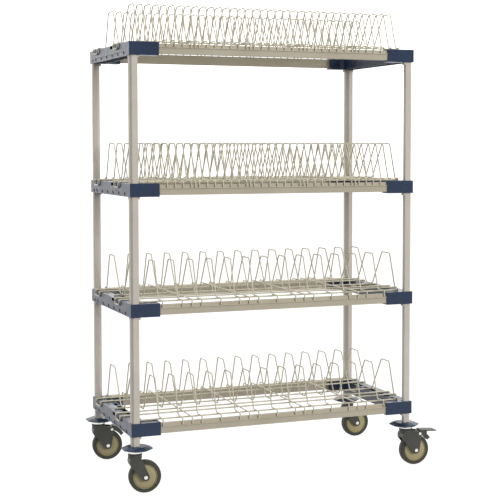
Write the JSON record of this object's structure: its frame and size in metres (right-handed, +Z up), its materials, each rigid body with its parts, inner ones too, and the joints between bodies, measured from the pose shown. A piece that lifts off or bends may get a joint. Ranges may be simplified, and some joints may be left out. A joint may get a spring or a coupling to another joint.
{
  "type": "mobile drying rack",
  "caption": "Mobile drying rack: posts on swivel casters carry open shelf frames, each with a lift-out wire rack of double hoops that hold plates or trays on edge.",
  "frame": {"origin": "on the floor, under the middle of the shelf frames", "axes": "+Z up, +X along the rack's length to the right seen from the front, -Y towards the front"},
  "size_m": [1.3437, 0.6766, 1.8708],
  "materials": {
    "post_plastic": "satin",
    "rail_plastic": "satin",
    "navy_plastic": "satin",
    "dark_plastic": "matte",
    "navy_bumper": "matte",
    "coated_wire": "satin",
    "bright_steel": "satin",
    "fork_paint": "satin",
    "pedal_paint": "satin",
    "core_plastic": "satin",
    "tread_rubber": "matte"
  },
  "bodies": {
    "frame": {"post_front_left": "post_plastic", "post_front_right": "post_plastic", "post_rear_left": "post_plastic", "post_rear_right": "post_plastic", "post_caps": "post_plastic", "post_plugs": "dark_plastic", "wedge_connectors": "post_plastic", "caster_stems": "bright_steel", "bumpers": "navy_bumper", "end_bracket_left_bottom": "navy_plastic", "end_bracket_right_bottom": "navy_plastic", "rail_front_bottom": "rail_plastic", "rail_rear_bottom": "rail_plastic", "end_bracket_left_lower": "navy_plastic", "end_bracket_right_lower": "navy_plastic", "rail_front_lower": "rail_plastic", "rail_rear_lower": "rail_plastic", "end_bracket_left_upper": "navy_plastic", "end_bracket_right_upper": "navy_plastic", "rail_front_upper": "rail_plastic", "rail_rear_upper": "rail_plastic", "end_bracket_left_top": "navy_plastic", "end_bracket_right_top": "navy_plastic", "rail_front_top": "rail_plastic", "rail_rear_top": "rail_plastic"},
    "rack_bottom": {"rack_dividers_bottom": "coated_wire", "rack_cross_wires_bottom": "coated_wire", "rack_long_wires_bottom": "coated_wire"},
    "rack_lower": {"rack_dividers_lower": "coated_wire", "rack_cross_wires_lower": "coated_wire", "rack_long_wires_lower": "coated_wire"},
    "rack_upper": {"rack_dividers_upper": "coated_wire", "rack_cross_wires_upper": "coated_wire", "rack_long_wires_upper": "coated_wire"},
    "rack_top": {"rack_dividers_top": "coated_wire", "rack_cross_wires_top": "coated_wire", "rack_long_wires_top": "coated_wire"},
    "caster_front_left": {"fork_front_left": "fork_paint", "axle_front_left": "bright_steel"},
    "wheel_front_left": {"wheel_core_front_left": "core_plastic", "tyre_front_left": "tread_rubber"},
    "caster_front_right": {"fork_front_right": "fork_paint", "axle_front_right": "bright_steel", "brake_pin_front_right": "bright_steel"},
    "wheel_front_right": {"wheel_core_front_right": "core_plastic", "tyre_front_right": "tread_rubber"},
    "brake_front_right": {"brake_pedal_front_right": "pedal_paint"},
    "caster_rear_left": {"fork_rear_left": "fork_paint", "axle_rear_left": "bright_steel", "brake_pin_rear_left": "bright_steel"},
    "wheel_rear_left": {"wheel_core_rear_left": "core_plastic", "tyre_rear_left": "tread_rubber"},
    "brake_rear_left": {"brake_pedal_rear_left": "pedal_paint"},
    "caster_rear_right": {"fork_rear_right": "fork_paint", "axle_rear_right": "bright_steel"},
    "wheel_rear_right": {"wheel_core_rear_right": "core_plastic", "tyre_rear_right": "tread_rubber"}
  },
  "joints": [
    {"name": "rack_lift_bottom", "type": "slide", "parent": "frame", "child": "rack_bottom", "axis": [0, 0, 1], "range_m": [0, 0.1]},
    {"name": "rack_lift_lower", "type": "slide", "parent": "frame", "child": "rack_lower", "axis": [0, 0, 1], "range_m": [0, 0.1]},
    {"name": "rack_lift_upper", "type": "slide", "parent": "frame", "child": "rack_upper", "axis": [0, 0, 1], "range_m": [0, 0.1]},
    {"name": "rack_lift_top", "type": "slide", "parent": "frame", "child": "rack_top", "axis": [0, 0, 1], "range_m": [0, 0.1]},
    {"name": "swivel_front_left", "type": "hinge", "parent": "frame", "child": "caster_front_left", "pos_m": [-0.58193, -0.28192, 0.145], "axis": [0, 0, 1], "continuous": true},
    {"name": "roll_front_left", "type": "hinge", "parent": "caster_front_left", "child": "wheel_front_left", "pos_m": [-0.54513, -0.28579, 0.0625], "axis": [0.1045, 0.9945, 0], "continuous": true},
    {"name": "swivel_front_right", "type": "hinge", "parent": "frame", "child": "caster_front_right", "pos_m": [0.58193, -0.28192, 0.145], "axis": [0, 0, 1], "continuous": true},
    {"name": "roll_front_right", "type": "hinge", "parent": "caster_front_right", "child": "wheel_front_right", "pos_m": [0.61887, -0.28386, 0.0625], "axis": [0.0523, 0.9986, 0], "continuous": true},
    {"name": "brake_press_front_right", "type": "hinge", "parent": "caster_front_right", "child": "brake_front_right", "pos_m": [0.63585, -0.28475, 0.131], "axis": [0.0523, 0.9986, 0], "range_deg": [0, 5]},
    {"name": "swivel_rear_left", "type": "hinge", "parent": "frame", "child": "caster_rear_left", "pos_m": [-0.58193, 0.28192, 0.145], "axis": [0, 0, 1], "continuous": true},
    {"name": "roll_rear_left", "type": "hinge", "parent": "caster_rear_left", "child": "wheel_rear_left", "pos_m": [-0.54513, 0.27806, 0.0625], "axis": [0.1045, 0.9945, 0], "continuous": true},
    {"name": "brake_press_rear_left", "type": "hinge", "parent": "caster_rear_left", "child": "brake_rear_left", "pos_m": [-0.52822, 0.27628, 0.131], "axis": [0.1045, 0.9945, 0], "range_deg": [0, 5]},
    {"name": "swivel_rear_right", "type": "hinge", "parent": "frame", "child": "caster_rear_right", "pos_m": [0.58193, 0.28192, 0.145], "axis": [0, 0, 1], "continuous": true},
    {"name": "roll_rear_right", "type": "hinge", "parent": "caster_rear_right", "child": "wheel_rear_right", "pos_m": [0.61892, 0.28192, 0.0625], "axis": [0, 1, 0], "continuous": true}
  ]
}
